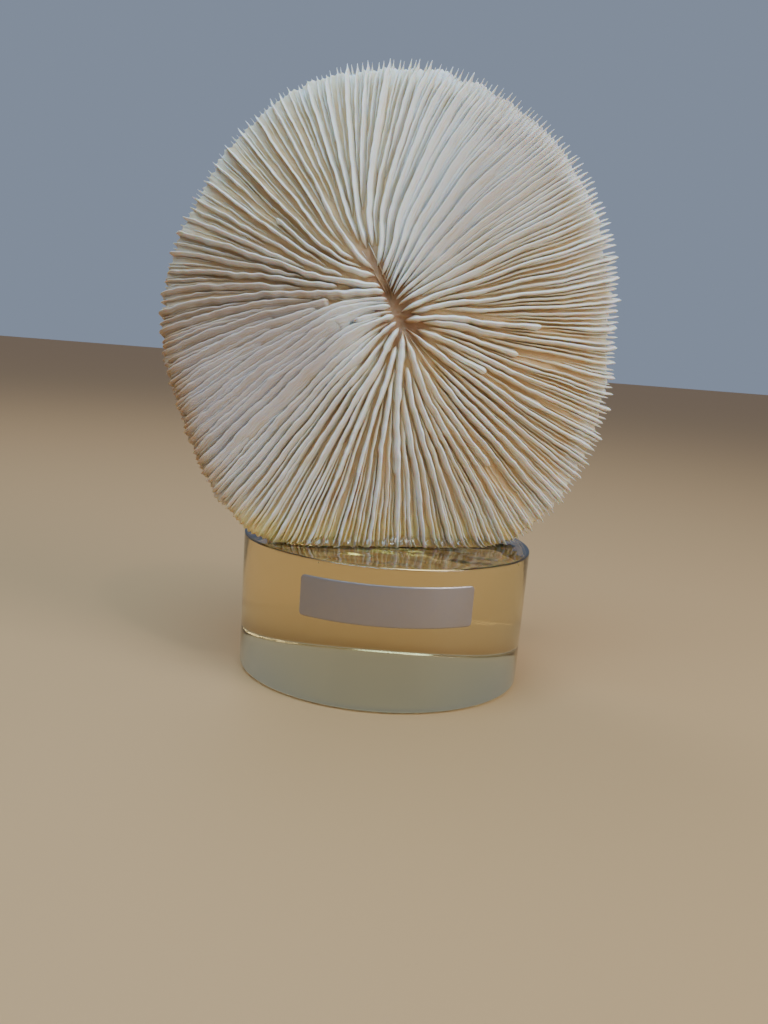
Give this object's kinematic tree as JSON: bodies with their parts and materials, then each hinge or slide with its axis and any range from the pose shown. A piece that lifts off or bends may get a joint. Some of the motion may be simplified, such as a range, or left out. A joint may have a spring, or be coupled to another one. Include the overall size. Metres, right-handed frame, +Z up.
{
  "type": "mushroom coral on a resin base",
  "caption": "Oval mushroom coral skeleton with radiating septa, standing on edge in a round block of clear amber resin that carries a bare foil label.",
  "frame": {"origin": "centre of the resin block's flat underside, on the surface that it stands on", "axes": "+Z up; the coral's mouth and the label face -Y; +X is to the right of someone who looks at the label"},
  "size_m": [0.1272, 0.0804, 0.1649],
  "materials": {
    "coral_skeleton": "dry chalky white skeleton, faint amber stain deep between the septa",
    "amber_resin": "clear cast resin with a yellow amber tint, smooth and glossy",
    "silver_foil": "thin dull silver foil, satin"
  },
  "bodies": {
    "root": {"coral": "coral_skeleton", "resin_base": "amber_resin", "label": "silver_foil"}
  },
  "joints": []
}
